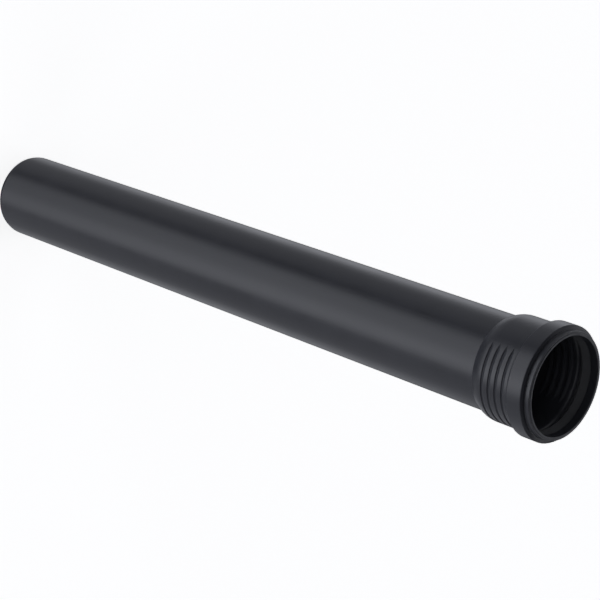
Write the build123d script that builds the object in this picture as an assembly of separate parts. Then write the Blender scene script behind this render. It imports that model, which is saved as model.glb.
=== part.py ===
from build123d import *
import math
import os

# Soil pipe with a push-fit socket.
# The pipe stands on its spigot end at Z = 0, with the socket's mouth at the top.
# The origin is the middle of the spigot's end face. All sizes in millimetres.

os.makedirs("parts", exist_ok=True)

# Pipe
pipe_diameter = 110.0
wall = 3.6
overall_length = 941.0

# Spigot end: a long shallow lead so that it slides past the seal
lead_length = 4.5
lead_depth = 1.2
lead_rounding = 1.5
cut_rounding = 0.3

# Waist: the part of the socket that guides the spigot
waist_growth = 5.7
waist_length = 43.5
shoulder_slope = 34.5
shoulder_rounding = 30.5
shoulder_foot_rounding = 1.5

# Grooves pressed into two sides of the waist, each with its ridge inside
groove_count = 4
groove_pitch = 9.27
land_after_grooves = 7.1
groove_depth = 1.1
groove_sides = 2
groove_turn = -55.5
groove_arc = 86.0
groove_run_out = 12.0
groove_overcut = 0.05
land_crown = 0.02
groove_mouth = 1.0
groove_back_slope = 50.0
groove_front_slope = 22.0
groove_bottom_rounding = 0.4
groove_back_rounding = 0.6
groove_front_rounding = 4.0
ridge_back_slope = 40.0
ridge_back_rounding = 0.5
ridge_front_rounding = 0.4

# Seal chamber
chamber_growth = 4.9
chamber_length = 18.97
chamber_slope = 55.0
chamber_rounding = 1.5
chamber_inner_rounding = 1.0
chamber_front_rounding = 1.0
bevel_length = 1.8
bevel_depth = 2.7

# Neck ring and rim at the mouth
entry_clearance = 1.0
neck_wall = 4.7
neck_length = 5.7
neck_rounding = 0.6
rim_land = 2.7
rim_length = 0.7
rim_rounding = 0.5
root_rounding = 0.8

# Lip seal
seal_squeeze = 0.8
seal_side_gap = 0.3
seal_length = 16.3
seal_band = 2.4
lip_setback = 1.7
lip_rise = 0.4
lip_reach = 8.6
lip_thickness = 1.5
lip_tip_rounding = 0.5
seal_rounding = 0.5

# Radii that follow from the sizes above
outer = pipe_diameter / 2
bore = outer - wall
waist_outer = outer + waist_growth
waist_inner = waist_outer - wall
chamber_outer = waist_outer + chamber_growth
chamber_inner = chamber_outer - wall
neck_inner = outer + entry_clearance
neck_outer = neck_inner + neck_wall

# Heights along the pipe, counted down from the mouth
neck_front = overall_length - rim_length
chamber_face = neck_front - neck_length
chamber_front = chamber_face - bevel_length
wall_back = chamber_face - wall
chamber_top = chamber_front - chamber_length
waist_end = chamber_top - chamber_growth / math.tan(math.radians(chamber_slope))
first_groove = waist_end - land_after_grooves - (groove_count - 1) * groove_pitch
shoulder_top = waist_end - waist_length
shoulder_foot = shoulder_top - waist_growth / math.tan(math.radians(shoulder_slope))

# How far a slope's corner moves up the pipe on the inside of the wall
shoulder_shift = wall * math.tan(math.radians(shoulder_slope / 2))
chamber_shift = wall * math.tan(math.radians(chamber_slope / 2))


def rounded_edges(corners):
    """Closed chain of lines, with a tangent arc at each corner (radius, height, rounding)."""
    count = len(corners)
    points = [Vector(radius, height) for radius, height, rounding in corners]
    sides = [points[(i + 1) % count] - points[i] for i in range(count)]
    turns = []
    reaches = []
    for i in range(count):
        cosine = sides[i - 1].normalized().dot(sides[i].normalized())
        turns.append(math.acos(max(-1.0, min(1.0, cosine))))
        reaches.append(max(corners[i][2], 0) * math.tan(turns[i] / 2))
    shares = [min(1.0, 0.99 * sides[i].length / max(reaches[i] + reaches[(i + 1) % count], 1e-9))
              for i in range(count)]
    starts = []
    ends = []
    middles = []
    for i in range(count):
        here = points[i]
        reach = reaches[i] * min(shares[i - 1], shares[i])
        if reach < 1e-4 or turns[i] < math.radians(0.5):
            starts.append(here)
            ends.append(here)
            middles.append(None)
            continue
        bend = reach / math.tan(turns[i] / 2)
        start = here - sides[i - 1].normalized() * reach
        end = here + sides[i].normalized() * reach
        toward = ((start + end) * 0.5 - here).normalized()
        centre = here + toward * (bend / math.cos(turns[i] / 2))
        starts.append(start)
        ends.append(end)
        middles.append(centre - toward * bend)
    edges = []
    for i in range(count):
        if middles[i] is not None:
            edges.append(ThreePointArc(starts[i], middles[i], ends[i]))
        step = starts[(i + 1) % count] - ends[i]
        if step.length > 1e-6:
            edges.append(Line(ends[i], starts[(i + 1) % count]))
    return edges


def profile(corners):
    """Face in the XZ plane with (radius, height, rounding) corners."""
    with BuildSketch(Plane.XZ) as sketch:
        with BuildLine():
            for edge in rounded_edges(corners):
                add(edge)
        make_face()
    return sketch.sketch


def wave(radius, height, tip_rounding, back, back_rounding, front, front_rounding):
    """Profile of a V pressed towards the axis, with its tip rounded about a height.

    The back slope looks at the mouth and the front slope at the spigot end. The tip reaches
    groove_depth in from the radius. The edges are rounded a little outside the radius, so
    that they cross the wall's surface, and the profile goes groove_mouth out beyond them.
    """
    back = math.radians(back)
    front = math.radians(front)
    spread = math.cos((back + front) / 2)
    lean = (back - front) / 2
    tip_radius = radius - groove_depth + tip_rounding * (1 - math.cos(lean) / spread)
    tip_height = height - tip_rounding * math.sin(lean) / spread
    radius += groove_overcut
    back_edge = tip_height - (radius - tip_radius) / math.tan(back)
    front_edge = tip_height + (radius - tip_radius) / math.tan(front)
    back_start = back_edge - back_rounding * math.tan(back / 2)
    front_end = front_edge + front_rounding * math.tan(front / 2)
    return profile([
        (radius + groove_mouth, back_start, 0),
        (radius, back_start, 0),
        (radius, back_edge, back_rounding),
        (tip_radius, tip_height, tip_rounding),
        (radius, front_edge, front_rounding),
        (radius, front_end, 0),
        (radius + groove_mouth, front_end, 0),
    ])


def pressed(face):
    """The form that a profile leaves in one side of the waist, running out straight at both ends."""
    middle = revolve(face, Axis.Z, groove_arc)
    start = extrude(face, groove_run_out, dir=(0, -1, 0))
    end = Rot(0, 0, groove_arc) * extrude(face, groove_run_out, dir=(0, 1, 0))
    return Rot(0, 0, groove_turn - groove_arc / 2) * (middle + start + end)


# Heights of the grooves, and corners of the waist: a slight crown on the land after each groove
grooves = [first_groove + row * groove_pitch for row in range(groove_count)]
crowns = []
for height in grooves:
    crowns += [(0, height), (land_crown, height + groove_pitch / 2)]

# Outside, from the spigot end up to the mouth
outside = [
    (bore, 0, 0),
    (outer - lead_depth, 0, cut_rounding),
    (outer, lead_length, lead_rounding),
    (outer, shoulder_foot, shoulder_foot_rounding),
    (waist_outer, shoulder_top, shoulder_rounding),
]
outside += [(waist_outer + crown, height, 0) for crown, height in crowns]
outside += [
    (waist_outer, waist_end, root_rounding),
    (chamber_outer, chamber_top, chamber_rounding),
    (chamber_outer, chamber_front, chamber_front_rounding),
    (chamber_outer - bevel_depth, chamber_face, rim_rounding),
    (neck_outer, chamber_face, root_rounding),
    (neck_outer, neck_front, neck_rounding),
    (neck_inner + rim_land, neck_front, 0),
    (neck_inner + rim_land, overall_length, rim_rounding),
]

# Inside, from the mouth back down to the spigot end
inside = [
    (neck_inner, overall_length, rim_rounding),
    (neck_inner, wall_back, rim_rounding),
    (chamber_inner, wall_back, rim_rounding),
    (chamber_inner, chamber_top + chamber_shift, chamber_inner_rounding),
    (waist_inner, waist_end + chamber_shift, root_rounding + wall),
]
inside += [(waist_inner + crown, height, 0) for crown, height in reversed(crowns)]
inside += [
    (waist_inner, shoulder_top + shoulder_shift, shoulder_rounding - wall),
    (bore, shoulder_foot + shoulder_shift, shoulder_foot_rounding + wall),
]
pipe = revolve(profile(outside + inside), Axis.Z)

# Grooves outside and ridges inside, which keep the wall as thick as it is elsewhere
for height in grooves:
    groove = pressed(wave(
        waist_outer, height, groove_bottom_rounding,
        groove_back_slope, groove_back_rounding, groove_front_slope, groove_front_rounding))
    ridge = pressed(wave(
        waist_inner, height, groove_bottom_rounding + wall,
        ridge_back_slope, ridge_back_rounding, groove_front_slope, ridge_front_rounding))
    for side in range(groove_sides):
        turn = Rot(0, 0, 360 * side / groove_sides)
        pipe = pipe.cut(turn * groove).fuse(turn * ridge)

# Lip seal: a band that fills the chamber's front and a lip that points inwards
seal_outer = chamber_inner - seal_side_gap
band_inner = seal_outer - seal_band
seal_back = wall_back - seal_length
seal_heel = seal_band / math.tan(math.radians(chamber_slope))
lip_root = wall_back - lip_setback
lip_end = lip_root - lip_reach
lip_radius = outer - seal_squeeze
lip_slope = math.atan2(band_inner - lip_radius, lip_reach)
lip_back = lip_root - lip_thickness / math.sin(lip_slope)
seal = revolve(profile([
    (seal_outer, wall_back, seal_rounding),
    (band_inner, wall_back, seal_rounding),
    (band_inner - lip_rise, lip_root, seal_rounding),
    (lip_radius, lip_end, lip_tip_rounding),
    (lip_radius + lip_thickness, lip_end - 0.2 * lip_thickness, lip_tip_rounding),
    (band_inner, lip_back, seal_rounding),
    (band_inner, seal_back, seal_rounding),
    (seal_outer, seal_back + seal_heel, seal_rounding),
]), Axis.Z)

export_step(pipe, "parts/pipe.step")
export_step(seal, "parts/lip_seal.step")
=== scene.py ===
import math

import bmesh
import bpy
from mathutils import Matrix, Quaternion, Vector


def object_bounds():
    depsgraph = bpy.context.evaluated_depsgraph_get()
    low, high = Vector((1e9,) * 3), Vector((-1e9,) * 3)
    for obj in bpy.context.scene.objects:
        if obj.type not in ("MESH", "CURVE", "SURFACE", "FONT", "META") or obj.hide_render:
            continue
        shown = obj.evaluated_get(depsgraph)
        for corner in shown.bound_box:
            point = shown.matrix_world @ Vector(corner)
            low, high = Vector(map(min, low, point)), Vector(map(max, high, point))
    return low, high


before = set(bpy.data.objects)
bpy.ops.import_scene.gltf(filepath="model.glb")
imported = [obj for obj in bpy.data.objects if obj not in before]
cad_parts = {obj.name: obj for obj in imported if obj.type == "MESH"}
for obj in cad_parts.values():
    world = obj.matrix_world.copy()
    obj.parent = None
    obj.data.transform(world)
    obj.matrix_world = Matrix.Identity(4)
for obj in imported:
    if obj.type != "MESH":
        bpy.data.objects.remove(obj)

bl_info = {
    "name": "Soil pipe studio",
    "version": (1, 0, 0),
    "blender": (4, 5, 0),
    "location": "3D View > Sidebar > Soil pipe",
    "description": "Finishes a push-fit soil pipe and its lip seal, and sets up a studio for them",
    "category": "Object",
}

CAD_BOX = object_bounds()

# Heights of the pipe's two ends
SPIGOT_END = 0.0
MOUTH = CAD_BOX[1][2]

# Plastic: how light each mark is beside the plain colour, how much of it shows, how much duller it
# makes the surface, and how its relief stands (depth in metres)
CLOUD_DARK = 0.95
CLOUD_LIGHT = 1.06
CLOUD_DULLING = 0.03
LINE_LIGHT = 1.5
LINE_SHARE = 0.12
LINE_DULLING = 0.03
LINE_RELIEF = 0.5
RUB_LIGHT = 2.2
RUB_SHARE = 0.5
RUB_DULLING = 0.2
SCUFF_LIGHT = 2.0
SCUFF_SHARE = 0.35
GRAIN_DEPTH = 0.000012
GRAIN_RELIEF = 0.6

# Rubber of the seal, in the same terms
RUBBER_DARK = 0.92
RUBBER_LIGHT = 1.1
RUBBER_DULLING = 0.08
RUBBER_GRAIN_DEPTH = 0.00002

# Studio
WHITE = (1.0, 1.0, 1.0, 1.0)
SENSOR_WIDTH = 36.0
BACKGROUND_LEVEL = 1.0
FLOOR_GLOW = 0.83

# Soft light panels round the pipe: name, heading, half width, height, half height and soft edge,
# all in degrees, and level. Headings are counted round +Z from +X, and heights up from the floor's
# level, so a negative height is below it.
PANELS = (
    ("key", -60.0, 17.0, -25.0, 28.0, 9.0, 1.9),
    ("front", -101.0, 25.0, -37.0, 15.0, 9.0, 1.42),
    ("right", 50.0, 19.0, -43.0, 10.0, 8.0, 0.65),
    ("right_fill", 0.0, 32.0, -25.0, 45.0, 8.0, 0.35),
    ("back_left", 135.0, 18.0, -27.0, 28.0, 16.0, 1.1),
    ("left_fill", -175.0, 25.0, -28.0, 45.0, 8.0, 0.35),
    ("left_high", 172.0, 20.0, 30.0, 12.0, 8.0, 0.6),
    ("right_high", 8.0, 20.0, 30.0, 12.0, 8.0, 0.4),
    ("back_top", 110.0, 30.0, 40.0, 14.0, 8.0, 0.9),
    ("back_low", 90.0, 45.0, 12.0, 8.0, 6.0, 0.62),
    ("front_top", -85.0, 50.0, 32.0, 10.0, 6.0, 0.6),
)


# Node helpers

def feed(tree, value, socket):
    """Sets a node's input to a value, or links it to another node's output."""
    if isinstance(value, bpy.types.NodeSocket):
        tree.links.new(value, socket)
    else:
        socket.default_value = value


def new_group(name, inputs, outputs):
    """Empty shader group with the given sockets, as (group, its input node, its output node)."""
    group = bpy.data.node_groups.new(name, "ShaderNodeTree")
    for label, kind, value in inputs:
        socket = group.interface.new_socket(name=label, in_out="INPUT", socket_type=kind)
        if value is not None:
            socket.default_value = value
    for label, kind in outputs:
        group.interface.new_socket(name=label, in_out="OUTPUT", socket_type=kind)
    inside = group.nodes.new("NodeGroupInput")
    outside = group.nodes.new("NodeGroupOutput")
    return group, inside, outside


def place_group(tree, name, vector, values):
    """Group node in a material, on a vector and with its own values."""
    node = tree.nodes.new("ShaderNodeGroup")
    node.node_tree = bpy.data.node_groups[name]
    for label, value in values.items():
        node.inputs[label].default_value = value
    tree.links.new(vector, node.inputs["Vector"])
    return node


def math_node(tree, operation, *values):
    """Result of a math node on up to three values, each a number or a socket."""
    node = tree.nodes.new("ShaderNodeMath")
    node.operation = operation
    for index, value in enumerate(values):
        feed(tree, value, node.inputs[index])
    return node.outputs[0]


def ramp_value(tree, value, low, high, out_low=0.0, out_high=1.0):
    """Value eased from low..high to out_low..out_high, and held beyond them."""
    node = tree.nodes.new("ShaderNodeMapRange")
    node.interpolation_type = "SMOOTHSTEP"
    feed(tree, value, node.inputs["Value"])
    feed(tree, low, node.inputs["From Min"])
    feed(tree, high, node.inputs["From Max"])
    feed(tree, out_low, node.inputs["To Min"])
    feed(tree, out_high, node.inputs["To Max"])
    return node.outputs["Result"]


def noise_value(tree, vector, scale, detail, roughness):
    """Noise between 0 and 1, with scale cells per unit of the vector."""
    node = tree.nodes.new("ShaderNodeTexNoise")
    feed(tree, vector, node.inputs["Vector"])
    feed(tree, scale, node.inputs["Scale"])
    feed(tree, detail, node.inputs["Detail"])
    feed(tree, roughness, node.inputs["Roughness"])
    return node.outputs["Fac"]


def mix_value(tree, share, first, second):
    """Number between two, each a number or a socket."""
    node = tree.nodes.new("ShaderNodeMix")
    for index, value in ((0, share), (2, first), (3, second)):
        feed(tree, value, node.inputs[index])
    return node.outputs[0]


def mix_colour(tree, share, first, second):
    """Colour between two, each four numbers or a socket."""
    node = tree.nodes.new("ShaderNodeMix")
    node.data_type = "RGBA"
    for index, value in ((0, share), (6, first), (7, second)):
        feed(tree, value, node.inputs[index])
    return node.outputs[2]


def bump_from(tree, height, depth, relief, before=None):
    """Normal from a height between 0 and 1 that stands depth metres, on top of another normal."""
    node = tree.nodes.new("ShaderNodeBump")
    node.inputs["Distance"].default_value = depth
    node.inputs["Strength"].default_value = relief
    tree.links.new(height, node.inputs["Height"])
    if before is not None:
        tree.links.new(before, node.inputs["Normal"])
    return node.outputs["Normal"]


def round_vector(tree, vector, around, along):
    """Vector that wraps a pattern round the pipe, finer with around, and along cells per metre."""
    split = tree.nodes.new("ShaderNodeSeparateXYZ")
    tree.links.new(vector, split.inputs[0])
    squares = [
        math_node(tree, "MULTIPLY", split.outputs[axis], split.outputs[axis]) for axis in "XY"]
    radius = math_node(tree, "SQRT", math_node(tree, "ADD", *squares))
    join = tree.nodes.new("ShaderNodeCombineXYZ")
    for axis in "XY":
        aim = math_node(tree, "DIVIDE", split.outputs[axis], radius)
        tree.links.new(math_node(tree, "MULTIPLY", aim, around), join.inputs[axis])
    tree.links.new(math_node(tree, "MULTIPLY", split.outputs["Z"], along), join.inputs["Z"])
    return join.outputs[0]


def new_material(name):
    """Material with an empty tree but for its Principled shader, as (material, tree, shader)."""
    material = bpy.data.materials.new(name)
    material.use_nodes = True
    tree = material.node_tree
    return material, tree, tree.nodes["Principled BSDF"]


def object_place(tree):
    """Place on the object, in metres."""
    return tree.nodes.new("ShaderNodeTexCoord").outputs["Object"]


def camera_sees(tree):
    """1 where the camera looks straight at the surface, and 0 where light or a reflection does."""
    return tree.nodes.new("ShaderNodeLightPath").outputs["Is Camera Ray"]


def shade(colour, factor=1.0):
    """Colour as four numbers, lightened or darkened by a factor."""
    return (colour[0] * factor, colour[1] * factor, colour[2] * factor, 1.0)


def assign(obj, material):
    """Gives an object the one material."""
    obj.data.materials.clear()
    obj.data.materials.append(material)


# Effects

def make_grain():
    """Fine matte grain of moulded plastic or rubber, and broad clouds in it."""
    group, inside, outside = new_group(
        "matte_grain",
        [("Vector", "NodeSocketVector", None), ("Cells", "NodeSocketFloat", 900.0),
         ("Cloud Cells", "NodeSocketFloat", 30.0)],
        [("Height", "NodeSocketFloat"), ("Cloud", "NodeSocketFloat")])
    where = inside.outputs["Vector"]
    fine = noise_value(group, where, inside.outputs["Cells"], detail=3.0, roughness=0.55)
    cloud = noise_value(group, where, inside.outputs["Cloud Cells"], detail=3.0, roughness=0.5)
    group.links.new(fine, outside.inputs["Height"])
    group.links.new(ramp_value(group, cloud, low=0.3, high=0.7), outside.inputs["Cloud"])


def make_draw_lines():
    """Faint lines that a pipe keeps from being drawn through its die, running along it."""
    group, inside, outside = new_group(
        "draw_lines",
        [("Vector", "NodeSocketVector", None), ("Lines", "NodeSocketFloat", 60.0),
         ("Stretch", "NodeSocketFloat", 3.0)],
        [("Height", "NodeSocketFloat"), ("Mask", "NodeSocketFloat")])
    wrapped = round_vector(
        group, inside.outputs["Vector"], inside.outputs["Lines"], inside.outputs["Stretch"])
    lines = noise_value(group, wrapped, scale=1.0, detail=5.0, roughness=0.6)
    group.links.new(lines, outside.inputs["Height"])
    group.links.new(ramp_value(group, lines, low=0.35, high=0.65), outside.inputs["Mask"])


def make_scuffs():
    """Sparse fine handling scratches, as a mask."""
    group, inside, outside = new_group(
        "handling_scuffs",
        [("Vector", "NodeSocketVector", None), ("Around", "NodeSocketFloat", 9.0),
         ("Along", "NodeSocketFloat", 160.0), ("Share", "NodeSocketFloat", 0.5)],
        [("Mask", "NodeSocketFloat")])
    wrapped = round_vector(
        group, inside.outputs["Vector"], inside.outputs["Around"], inside.outputs["Along"])
    streaks = noise_value(group, wrapped, scale=1.0, detail=2.0, roughness=0.4)
    patches = noise_value(group, inside.outputs["Vector"], scale=14.0, detail=2.0, roughness=0.5)
    scratches = math_node(
        group, "MULTIPLY", ramp_value(group, streaks, low=0.66, high=0.74),
        ramp_value(group, patches, low=0.52, high=0.66))
    mask = math_node(group, "MULTIPLY", scratches, inside.outputs["Share"])
    group.links.new(mask, outside.inputs["Mask"])


def make_edge_wear():
    """Rubbed band about a height, broken up by noise, for an edge that gets knocked."""
    group, inside, outside = new_group(
        "edge_wear",
        [("Vector", "NodeSocketVector", None), ("Height", "NodeSocketFloat", 0.0),
         ("Half Width", "NodeSocketFloat", 0.002)],
        [("Mask", "NodeSocketFloat")])
    split = group.nodes.new("ShaderNodeSeparateXYZ")
    group.links.new(inside.outputs["Vector"], split.inputs[0])
    offset = math_node(group, "SUBTRACT", split.outputs["Z"], inside.outputs["Height"])
    steps = math_node(
        group, "DIVIDE", math_node(group, "ABSOLUTE", offset), inside.outputs["Half Width"])
    near = math_node(group, "SUBTRACT", 1.0, math_node(group, "MINIMUM", steps, 1.0))
    breaks = noise_value(group, inside.outputs["Vector"], scale=160.0, detail=4.0, roughness=0.6)
    mask = math_node(group, "MULTIPLY", near, ramp_value(group, breaks, low=0.42, high=0.7))
    group.links.new(mask, outside.inputs["Mask"])


# Settings

class PipeSettings(bpy.types.PropertyGroup):
    colour: bpy.props.FloatVectorProperty(
        name="Plastic colour", description="Colour of the pipe's plastic",
        default=(0.0418, 0.0435, 0.0515), min=0.0, max=1.0, size=3, subtype="COLOR")
    roughness: bpy.props.FloatProperty(
        name="Plastic roughness", description="How matte the plastic is",
        default=0.32, min=0.0, max=1.0, subtype="FACTOR")
    line_depth: bpy.props.FloatProperty(
        name="Line depth", description="Depth of the lines along the tube",
        default=0.00002, min=0.0, max=0.001, unit="LENGTH", subtype="DISTANCE")


class SealSettings(bpy.types.PropertyGroup):
    colour: bpy.props.FloatVectorProperty(
        name="Rubber colour", description="Colour of the lip seal's rubber",
        default=(0.082, 0.084, 0.089), min=0.0, max=1.0, size=3, subtype="COLOR")
    roughness: bpy.props.FloatProperty(
        name="Rubber roughness", description="How dull the rubber is",
        default=0.6, min=0.0, max=1.0, subtype="FACTOR")


class StageSettings(bpy.types.PropertyGroup):
    floor_colour: bpy.props.FloatVectorProperty(
        name="Floor colour", description="Colour of the studio floor",
        default=(0.85, 0.85, 0.85), min=0.0, max=1.0, size=3, subtype="COLOR")
    floor_size: bpy.props.FloatProperty(
        name="Floor size", description="Width of the floor",
        default=24.0, min=1.0, unit="LENGTH", subtype="DISTANCE")
    light: bpy.props.FloatProperty(
        name="Light", description="Level of all the light panels together",
        default=1.0, min=0.0)
    light_colour: bpy.props.FloatVectorProperty(
        name="Light colour", description="Colour of the light panels, a little cool",
        default=(0.96, 0.98, 1.05), min=0.0, max=2.0, size=3, subtype="COLOR")
    lens: bpy.props.FloatProperty(
        name="Lens", description="Focal length of the camera, in millimetres",
        default=109.03, min=10.0, subtype="DISTANCE_CAMERA")
    camera_place: bpy.props.FloatVectorProperty(
        name="Camera place", description="Where the camera stands",
        default=(0.0, -1.61742, 2.00789), size=3, unit="LENGTH", subtype="TRANSLATION")
    camera_turn: bpy.props.FloatProperty(
        name="Camera turn", description="Heading of the view, from the +Y axis",
        default=math.radians(-0.34113), unit="ROTATION", subtype="ANGLE")
    camera_tilt: bpy.props.FloatProperty(
        name="Camera tilt", description="How far the view looks down",
        default=math.radians(42.14505), unit="ROTATION", subtype="ANGLE")
    camera_roll: bpy.props.FloatProperty(
        name="Camera roll", description="Turn of the picture about the line of sight",
        default=math.radians(109.95771), unit="ROTATION", subtype="ANGLE")


# Pieces

class SOILPIPE_OT_pipe(bpy.types.Operator):
    """Finish the pipe in matte dark plastic with draw lines, grain, scuffs and rubbed ends"""
    bl_idname = "soilpipe.pipe"
    bl_label = "Pipe"

    def execute(self, context):
        s = context.scene.soil_pipe
        material, tree, shader = new_material("dark_pipe_plastic")
        where = object_place(tree)
        grain = place_group(tree, "matte_grain", where, {"Cells": 1400.0, "Cloud Cells": 22.0})
        lines = place_group(tree, "draw_lines", where, {"Lines": 46.0, "Stretch": 1.6})
        scuffs = place_group(
            tree, "handling_scuffs", where, {"Around": 7.0, "Along": 420.0, "Share": 0.5})
        spigot = place_group(
            tree, "edge_wear", where, {"Height": SPIGOT_END, "Half Width": 0.006})
        rim = place_group(tree, "edge_wear", where, {"Height": MOUTH, "Half Width": 0.0012})
        cloud = grain.outputs["Cloud"]
        lined = lines.outputs["Mask"]
        rubbed = math_node(tree, "ADD", spigot.outputs["Mask"], rim.outputs["Mask"])

        colour = mix_colour(tree, cloud, shade(s.colour, CLOUD_DARK), shade(s.colour, CLOUD_LIGHT))
        for mask, share, lightness in (
                (lined, LINE_SHARE, LINE_LIGHT),
                (rubbed, RUB_SHARE, RUB_LIGHT),
                (scuffs.outputs["Mask"], SCUFF_SHARE, SCUFF_LIGHT)):
            shown = math_node(tree, "MULTIPLY", mask, share)
            colour = mix_colour(tree, shown, colour, shade(s.colour, lightness))
        tree.links.new(colour, shader.inputs["Base Color"])

        dullness = s.roughness - CLOUD_DULLING / 2
        for mask, dulling in ((cloud, CLOUD_DULLING), (lined, LINE_DULLING), (rubbed, RUB_DULLING)):
            dullness = math_node(tree, "MULTIPLY_ADD", mask, dulling, dullness)
        tree.links.new(dullness, shader.inputs["Roughness"])

        normal = bump_from(tree, lines.outputs["Height"], s.line_depth, LINE_RELIEF)
        normal = bump_from(tree, grain.outputs["Height"], GRAIN_DEPTH, GRAIN_RELIEF, normal)
        tree.links.new(normal, shader.inputs["Normal"])
        assign(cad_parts["pipe"], material)
        return {"FINISHED"}


class SOILPIPE_OT_lip_seal(bpy.types.Operator):
    """Finish the lip seal in dull dark rubber with a fine grain"""
    bl_idname = "soilpipe.lip_seal"
    bl_label = "Lip seal"

    def execute(self, context):
        s = context.scene.soil_pipe_seal
        material, tree, shader = new_material("seal_rubber")
        grain = place_group(
            tree, "matte_grain", object_place(tree), {"Cells": 1800.0, "Cloud Cells": 60.0})
        cloud = grain.outputs["Cloud"]
        colour = mix_colour(
            tree, cloud, shade(s.colour, RUBBER_DARK), shade(s.colour, RUBBER_LIGHT))
        tree.links.new(colour, shader.inputs["Base Color"])
        dullness = math_node(
            tree, "MULTIPLY_ADD", cloud, RUBBER_DULLING, s.roughness - RUBBER_DULLING / 2)
        tree.links.new(dullness, shader.inputs["Roughness"])
        normal = bump_from(tree, grain.outputs["Height"], RUBBER_GRAIN_DEPTH, GRAIN_RELIEF)
        tree.links.new(normal, shader.inputs["Normal"])
        assign(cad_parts["lip_seal"], material)
        return {"FINISHED"}


# Stage

def panel_light(tree, heading, height, panel):
    """Light of one panel, from the sockets of a look's heading and height."""
    name, panel_heading, half_width, panel_height, half_height, edge, light = panel
    aside = math_node(
        tree, "WRAP", math_node(tree, "SUBTRACT", heading, panel_heading), 180.0, -180.0)
    above = math_node(tree, "SUBTRACT", height, panel_height)
    for offset, half in ((aside, half_width), (above, half_height)):
        inside = ramp_value(
            tree, math_node(tree, "ABSOLUTE", offset), half - edge, half + edge, 1.0, 0.0)
        light = math_node(tree, "MULTIPLY", inside, light)
    light.node.label = name
    return light


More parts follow.
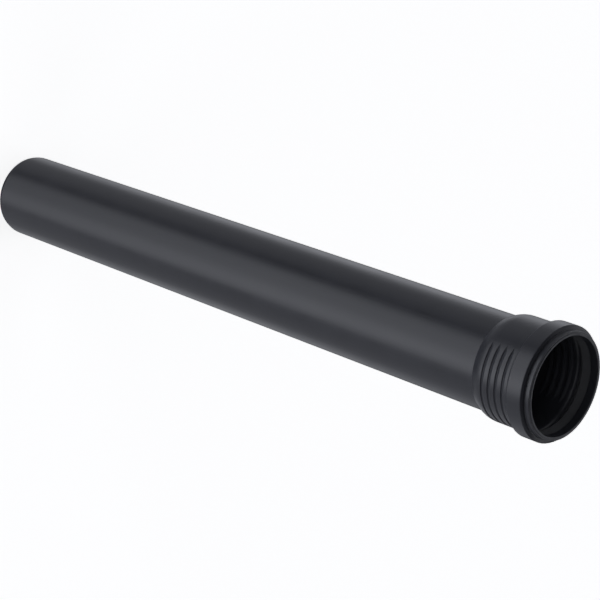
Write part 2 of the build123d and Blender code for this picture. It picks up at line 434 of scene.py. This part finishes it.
class SOILPIPE_OT_stage(bpy.types.Operator):
    """Set up the pale floor, the soft light panels and the camera"""
    bl_idname = "soilpipe.stage"
    bl_label = "Stage"

    def execute(self, context):
        s = context.scene.soil_pipe_stage
        self.make_floor(context, s)
        self.make_room(context, s)
        self.make_camera(context, s)
        context.scene.view_settings.view_transform = "Standard"
        return {"FINISHED"}

    def make_floor(self, context, s):
        """White floor that shows the pipe's shadow and lets light from below its level through."""
        sheet = bmesh.new()
        bmesh.ops.create_grid(sheet, x_segments=1, y_segments=1, size=s.floor_size / 2)
        mesh = bpy.data.meshes.new("floor")
        sheet.to_mesh(mesh)
        sheet.free()
        floor = bpy.data.objects.new("floor", mesh)
        context.scene.collection.objects.link(floor)
        floor.visible_glossy = False
        floor.visible_diffuse = False
        floor.visible_shadow = False

        material, tree, shader = new_material("studio_floor")
        tree.nodes.remove(shader)
        paint = tree.nodes.new("ShaderNodeBsdfDiffuse")
        paint.inputs["Color"].default_value = shade(s.floor_colour)
        glow = tree.nodes.new("ShaderNodeEmission")
        glow.inputs["Color"].default_value = WHITE
        tree.links.new(
            math_node(tree, "MULTIPLY", camera_sees(tree), FLOOR_GLOW), glow.inputs["Strength"])
        both = tree.nodes.new("ShaderNodeAddShader")
        tree.links.new(paint.outputs[0], both.inputs[0])
        tree.links.new(glow.outputs[0], both.inputs[1])
        tree.links.new(both.outputs[0], tree.nodes["Material Output"].inputs["Surface"])
        assign(floor, material)

    def make_room(self, context, s):
        """World that holds the light panels, and that the camera sees as plain white."""
        world = bpy.data.worlds.new("studio_room")
        world.use_nodes = True
        context.scene.world = world
        tree = world.node_tree
        look = tree.nodes.new("ShaderNodeSeparateXYZ")
        tree.links.new(tree.nodes.new("ShaderNodeTexCoord").outputs["Generated"], look.inputs[0])
        heading = math_node(
            tree, "DEGREES", math_node(tree, "ARCTAN2", look.outputs["Y"], look.outputs["X"]))
        height = math_node(tree, "DEGREES", math_node(tree, "ARCSINE", look.outputs["Z"]))
        light = 0.0
        for panel in PANELS:
            light = math_node(tree, "ADD", panel_light(tree, heading, height, panel), light)
        light = math_node(tree, "MULTIPLY", light, s.light)
        seen = camera_sees(tree)
        background = tree.nodes["Background"]
        tree.links.new(
            mix_colour(tree, seen, shade(s.light_colour), WHITE), background.inputs["Color"])
        tree.links.new(
            mix_value(tree, seen, light, BACKGROUND_LEVEL), background.inputs["Strength"])

    def make_camera(self, context, s):
        """Camera at the place and in the frame of the reference picture."""
        data = bpy.data.cameras.new("photo_camera")
        data.sensor_width = SENSOR_WIDTH
        data.lens = s.lens
        camera = bpy.data.objects.new("photo_camera", data)
        context.scene.collection.objects.link(camera)
        heading = math.radians(90.0) + s.camera_turn
        level = math.cos(s.camera_tilt)
        ahead = Vector((
            math.cos(heading) * level, math.sin(heading) * level, -math.sin(s.camera_tilt)))
        camera.location = s.camera_place
        camera.rotation_mode = "QUATERNION"
        upright = ahead.to_track_quat("-Z", "Y")
        camera.rotation_quaternion = Quaternion(-ahead, s.camera_roll) @ upright
        context.scene.camera = camera


class SOILPIPE_PT_panel(bpy.types.Panel):
    """Sizes and finishes of the soil pipe, and its making, in order"""
    bl_idname = "SOILPIPE_PT_panel"
    bl_label = "Soil pipe"
    bl_space_type = "VIEW_3D"
    bl_region_type = "UI"
    bl_category = "Soil pipe"

    def draw(self, context):
        scene = context.scene
        for settings, names in (
                (scene.soil_pipe, ("colour", "roughness", "line_depth")),
                (scene.soil_pipe_seal, ("colour", "roughness")),
                (scene.soil_pipe_stage,
                 ("floor_colour", "floor_size", "light", "light_colour", "lens"))):
            for name in names:
                self.layout.prop(settings, name)
        for operator in OPERATORS:
            self.layout.operator(operator.bl_idname)


OPERATORS = (SOILPIPE_OT_pipe, SOILPIPE_OT_lip_seal, SOILPIPE_OT_stage)
CLASSES = (PipeSettings, SealSettings, StageSettings) + OPERATORS + (SOILPIPE_PT_panel,)


def register():
    for cls in CLASSES:
        bpy.utils.register_class(cls)
    bpy.types.Scene.soil_pipe = bpy.props.PointerProperty(type=PipeSettings)
    bpy.types.Scene.soil_pipe_seal = bpy.props.PointerProperty(type=SealSettings)
    bpy.types.Scene.soil_pipe_stage = bpy.props.PointerProperty(type=StageSettings)


def unregister():
    del bpy.types.Scene.soil_pipe_stage
    del bpy.types.Scene.soil_pipe_seal
    del bpy.types.Scene.soil_pipe
    for cls in reversed(CLASSES):
        bpy.utils.unregister_class(cls)


def main():
    register()
    for make in (make_grain, make_draw_lines, make_scuffs, make_edge_wear):
        make()
    bpy.ops.soilpipe.stage()
    bpy.ops.soilpipe.pipe()
    bpy.ops.soilpipe.lip_seal()


if __name__ == "__main__":
    main()
